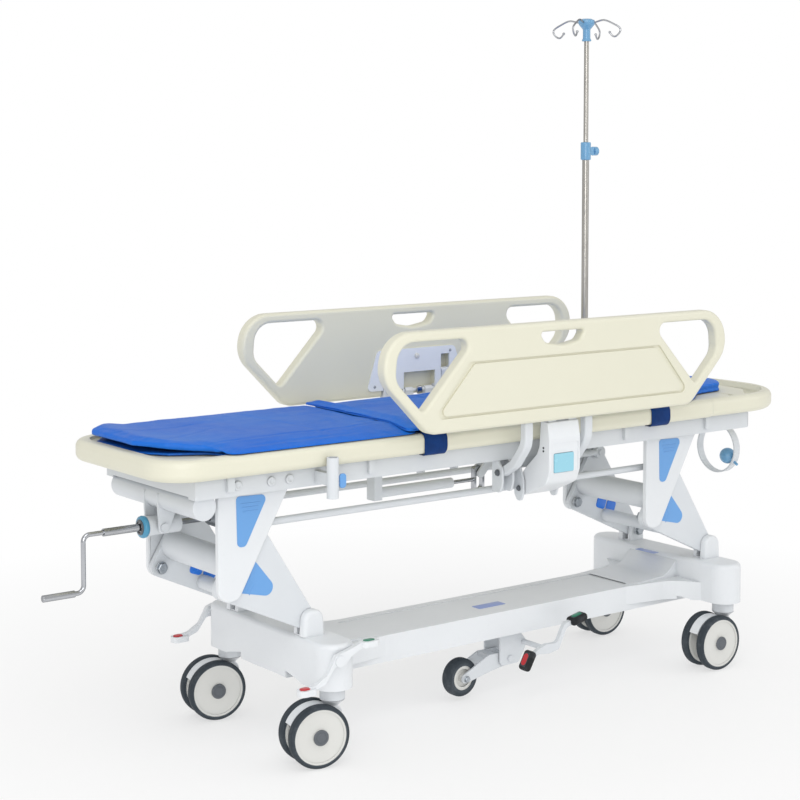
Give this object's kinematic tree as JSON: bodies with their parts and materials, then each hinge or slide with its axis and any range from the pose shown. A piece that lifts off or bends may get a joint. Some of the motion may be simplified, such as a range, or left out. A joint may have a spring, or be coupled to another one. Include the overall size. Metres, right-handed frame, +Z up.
{
  "type": "stretcher trolley",
  "caption": "Height-adjustable ward stretcher trolley with crank lift, drop side rails, hinged back section, swivel castors, steering wheel, drip pole and bottle ring.",
  "frame": {"origin": "on the floor below the middle of the deck frame, on the trolley's middle plane", "axes": "+X towards the head end, -Y the near side, +Z up"},
  "size_m": [2.252, 0.6868, 1.818],
  "materials": {
    "cover_white": "satin moulded",
    "frame_white": "satin powder coat",
    "rail_cream": "satin blow-moulded",
    "insert_blue": "satin moulded",
    "pad_blue": "coated fabric",
    "strap_navy": "woven webbing",
    "tyre_dark": "matt",
    "disc_grey": "satin",
    "pedal_rubber": "matt",
    "chrome": "polished",
    "pole_steel": "brushed",
    "pole_blue": "satin moulded",
    "zinc": "zinc plated",
    "plate_white": "satin powder coat",
    "button_blue": "satin moulded"
  },
  "bodies": {
    "base": {"base_cover": "cover_white", "base_frame": "frame_white", "pivot_posts": "cover_white"},
    "castor_foot_near": {"castor_fork_foot_near": "cover_white"},
    "wheels_foot_near": {"castor_rims_foot_near": "disc_grey", "castor_tyres_foot_near": "tyre_dark"},
    "castor_foot_far": {"castor_fork_foot_far": "cover_white"},
    "wheels_foot_far": {"castor_rims_foot_far": "disc_grey", "castor_tyres_foot_far": "tyre_dark"},
    "castor_head_near": {"castor_fork_head_near": "cover_white"},
    "wheels_head_near": {"castor_rims_head_near": "disc_grey", "castor_tyres_head_near": "tyre_dark"},
    "castor_head_far": {"castor_fork_head_far": "cover_white"},
    "wheels_head_far": {"castor_rims_head_far": "disc_grey", "castor_tyres_head_far": "tyre_dark"},
    "brake_near": {"brake_pedal_near": "cover_white"},
    "brake_far": {"brake_pedal_far": "cover_white"},
    "steer_pedal": {"steer_pedal": "frame_white", "steer_pads": "pedal_rubber"},
    "steer_arm": {"steer_arm": "frame_white"},
    "steer_wheel": {"steer_hub": "disc_grey", "steer_tyre": "tyre_dark"},
    "foot_rocker": {"foot_rocker": "frame_white", "foot_rocker_inserts": "insert_blue"},
    "head_rocker": {"head_rocker": "frame_white", "head_rocker_inserts": "insert_blue"},
    "link_rods": {"link_rods": "frame_white"},
    "lift_nut": {"lift_nut": "zinc"},
    "deck": {"main_frame": "frame_white", "leg_covers": "cover_white", "leg_inserts": "insert_blue", "deck_shell": "rail_cream", "leg_pad": "pad_blue", "seat_pad": "pad_blue", "pad_straps": "strap_navy", "gas_cylinder": "frame_white", "bottle_ring": "frame_white"},
    "crank_housing": {"crank_housing": "frame_white"},
    "crank": {"crank_shaft": "chrome"},
    "crank_grip": {"crank_grip": "chrome"},
    "back": {"back_panel": "rail_cream", "back_lever": "frame_white", "back_pad": "pad_blue"},
    "gas_rod": {"gas_rod": "chrome"},
    "rail_arms_near": {"rail_arms_near": "frame_white"},
    "rail_near": {"rail_panel_near": "rail_cream", "rail_plate_near": "plate_white"},
    "rail_lock_near": {"rail_lock_near": "cover_white"},
    "rail_button_near": {"rail_button_near": "button_blue"},
    "rail_arms_far": {"rail_arms_far": "frame_white"},
    "rail_far": {"rail_panel_far": "rail_cream", "rail_plate_far": "plate_white"},
    "rail_lock_far": {"rail_lock_far": "cover_white"},
    "rail_button_far": {"rail_button_far": "button_blue"},
    "pole_lower": {"pole_lower": "pole_steel", "pole_clamp": "pole_blue"},
    "pole_upper": {"pole_upper": "pole_steel", "pole_hub": "pole_blue", "pole_hooks": "chrome"},
    "bottle_pad": {"bottle_pad": "pole_blue"}
  },
  "joints": [
    {"name": "swivel_foot_near", "type": "hinge", "parent": "base", "child": "castor_foot_near", "pos_m": [-0.546, -0.226, 0.14], "axis": [0, 0, 1], "continuous": true},
    {"name": "roll_foot_near", "type": "hinge", "parent": "castor_foot_near", "child": "wheels_foot_near", "pos_m": [-0.59217, -0.21719, 0.075], "axis": [0.1874, 0.9823, 0], "continuous": true},
    {"name": "swivel_foot_far", "type": "hinge", "parent": "base", "child": "castor_foot_far", "pos_m": [-0.546, 0.226, 0.14], "axis": [0, 0, 1], "continuous": true},
    {"name": "roll_foot_far", "type": "hinge", "parent": "castor_foot_far", "child": "wheels_foot_far", "pos_m": [-0.59217, 0.23481, 0.075], "axis": [0.1874, 0.9823, 0], "continuous": true},
    {"name": "swivel_head_near", "type": "hinge", "parent": "base", "child": "castor_head_near", "pos_m": [0.785, -0.226, 0.14], "axis": [0, 0, 1], "continuous": true},
    {"name": "roll_head_near", "type": "hinge", "parent": "castor_head_near", "child": "wheels_head_near", "pos_m": [0.73803, -0.22436, 0.075], "axis": [0.0349, 0.9994, 0], "continuous": true},
    {"name": "swivel_head_far", "type": "hinge", "parent": "base", "child": "castor_head_far", "pos_m": [0.785, 0.226, 0.14], "axis": [0, 0, 1], "continuous": true},
    {"name": "roll_head_far", "type": "hinge", "parent": "castor_head_far", "child": "wheels_head_far", "pos_m": [0.73803, 0.22764, 0.075], "axis": [0.0349, 0.9994, 0], "continuous": true},
    {"name": "brake_press_near", "type": "hinge", "parent": "base", "child": "brake_near", "pos_m": [-0.569, -0.285, 0.257], "axis": [0, 1, 0], "range_deg": [-14, 14]},
    {"name": "brake_press_far", "type": "hinge", "parent": "base", "child": "brake_far", "pos_m": [-0.569, 0.285, 0.257], "axis": [0, 1, 0], "range_deg": [-14, 14]},
    {"name": "steer_press", "type": "hinge", "parent": "base", "child": "steer_pedal", "pos_m": [0.184, 0, 0.13], "axis": [0, 1, 0], "range_deg": [0, 14]},
    {"name": "steer_drop", "type": "hinge", "parent": "base", "child": "steer_arm", "pos_m": [0.138, -0.035, 0.092], "axis": [0, 1, 0], "range_deg": [-3.9, 0]},
    {"name": "steer_roll", "type": "hinge", "parent": "steer_arm", "child": "steer_wheel", "pos_m": [-0.006, -0.035, 0.06], "axis": [0, 1, 0], "continuous": true},
    {"name": "lift", "type": "hinge", "parent": "base", "child": "foot_rocker", "pos_m": [-0.56, 0, 0.32], "axis": [0, 1, 0], "range_deg": [-30, 32]},
    {"name": "deck_level", "type": "hinge", "parent": "foot_rocker", "child": "deck", "pos_m": [-0.796, 0, 0.429], "axis": [0, 1, 0], "range_deg": [-32, 30]},
    {"name": "head_lift", "type": "hinge", "parent": "base", "child": "head_rocker", "pos_m": [0.797, 0, 0.32], "axis": [0, 1, 0], "range_deg": [-30, 32]},
    {"name": "rod_level", "type": "hinge", "parent": "foot_rocker", "child": "link_rods", "pos_m": [-0.715, 0, 0.566], "axis": [0, 1, 0], "range_deg": [-32, 30]},
    {"name": "nut_level", "type": "hinge", "parent": "foot_rocker", "child": "lift_nut", "pos_m": [-0.715, 0, 0.566], "axis": [0, 1, 0], "range_deg": [-17, 16]},
    {"name": "crank_swing", "type": "hinge", "parent": "deck", "child": "crank_housing", "pos_m": [-0.88, 0, 0.566], "axis": [0, 1, 0], "range_deg": [-15.5, 16.5]},
    {"name": "crank_turn", "type": "hinge", "parent": "crank_housing", "child": "crank", "pos_m": [-1, 0, 0.566], "axis": [1, 0, 0], "continuous": true},
    {"name": "grip_spin", "type": "hinge", "parent": "crank", "child": "crank_grip", "pos_m": [-1.13, 0, 0.436], "axis": [1, 0, 0], "continuous": true},
    {"name": "back_tilt", "type": "hinge", "parent": "deck", "child": "back", "pos_m": [0.13, 0, 0.737], "axis": [0, -1, 0], "range_deg": [0, 70]},
    {"name": "spring_stroke", "type": "slide", "parent": "deck", "child": "gas_rod", "axis": [1, 0, 0], "range_m": [0, 0.2]},
    {"name": "rail_swing_near", "type": "hinge", "parent": "deck", "child": "rail_arms_near", "pos_m": [0.0975, -0.207, 0.625], "axis": [1, 0, 0], "range_deg": [0, 120]},
    {"name": "rail_level_near", "type": "hinge", "parent": "rail_arms_near", "child": "rail_near", "pos_m": [0.0975, -0.292, 0.82], "axis": [1, 0, 0], "range_deg": [-120, 0]},
    {"name": "lock_swing_near", "type": "hinge", "parent": "deck", "child": "rail_lock_near", "pos_m": [0.108, -0.207, 0.578], "axis": [1, 0, 0], "range_deg": [0, 120]},
    {"name": "button_press_near", "type": "slide", "parent": "rail_lock_near", "child": "rail_button_near", "axis": [0, 1, 0], "range_m": [0, 0.005]},
    {"name": "rail_swing_far", "type": "hinge", "parent": "deck", "child": "rail_arms_far", "pos_m": [0.0975, 0.207, 0.625], "axis": [-1, 0, 0], "range_deg": [0, 120]},
    {"name": "rail_level_far", "type": "hinge", "parent": "rail_arms_far", "child": "rail_far", "pos_m": [0.0975, 0.292, 0.82], "axis": [-1, 0, 0], "range_deg": [-120, 0]},
    {"name": "lock_swing_far", "type": "hinge", "parent": "deck", "child": "rail_lock_far", "pos_m": [0.108, 0.207, 0.578], "axis": [-1, 0, 0], "range_deg": [0, 120]},
    {"name": "button_press_far", "type": "slide", "parent": "rail_lock_far", "child": "rail_button_far", "axis": [0, -1, 0], "range_m": [0, 0.005]},
    {"name": "pole_turn", "type": "hinge", "parent": "deck", "child": "pole_lower", "pos_m": [0.712, 0.266, 0.68], "axis": [0, 0, 1], "continuous": true},
    {"name": "pole_slide", "type": "slide", "parent": "pole_lower", "child": "pole_upper", "axis": [0, 0, 1], "range_m": [-0.28, 0.2]},
    {"name": "pad_clamp", "type": "slide", "parent": "deck", "child": "bottle_pad", "axis": [0, 0.8682, 0.4961], "range_m": [0, 0.03]}
  ],
  "couplings": [
    {"joint": "steer_drop", "follows": "steer_press", "ratio": -0.27},
    {"joint": "deck_level", "follows": "lift", "ratio": -1},
    {"joint": "head_lift", "follows": "lift", "ratio": 1},
    {"joint": "rod_level", "follows": "lift", "ratio": -1},
    {"joint": "nut_level", "follows": "lift", "ratio": -0.511},
    {"joint": "crank_swing", "follows": "lift", "ratio": 0.489},
    {"joint": "spring_stroke", "follows": "back_tilt", "m_per_rad": 0.15962},
    {"joint": "rail_level_near", "follows": "rail_swing_near", "ratio": -1},
    {"joint": "lock_swing_near", "follows": "rail_swing_near", "ratio": 1},
    {"joint": "rail_level_far", "follows": "rail_swing_far", "ratio": -1},
    {"joint": "lock_swing_far", "follows": "rail_swing_far", "ratio": 1}
  ]
}
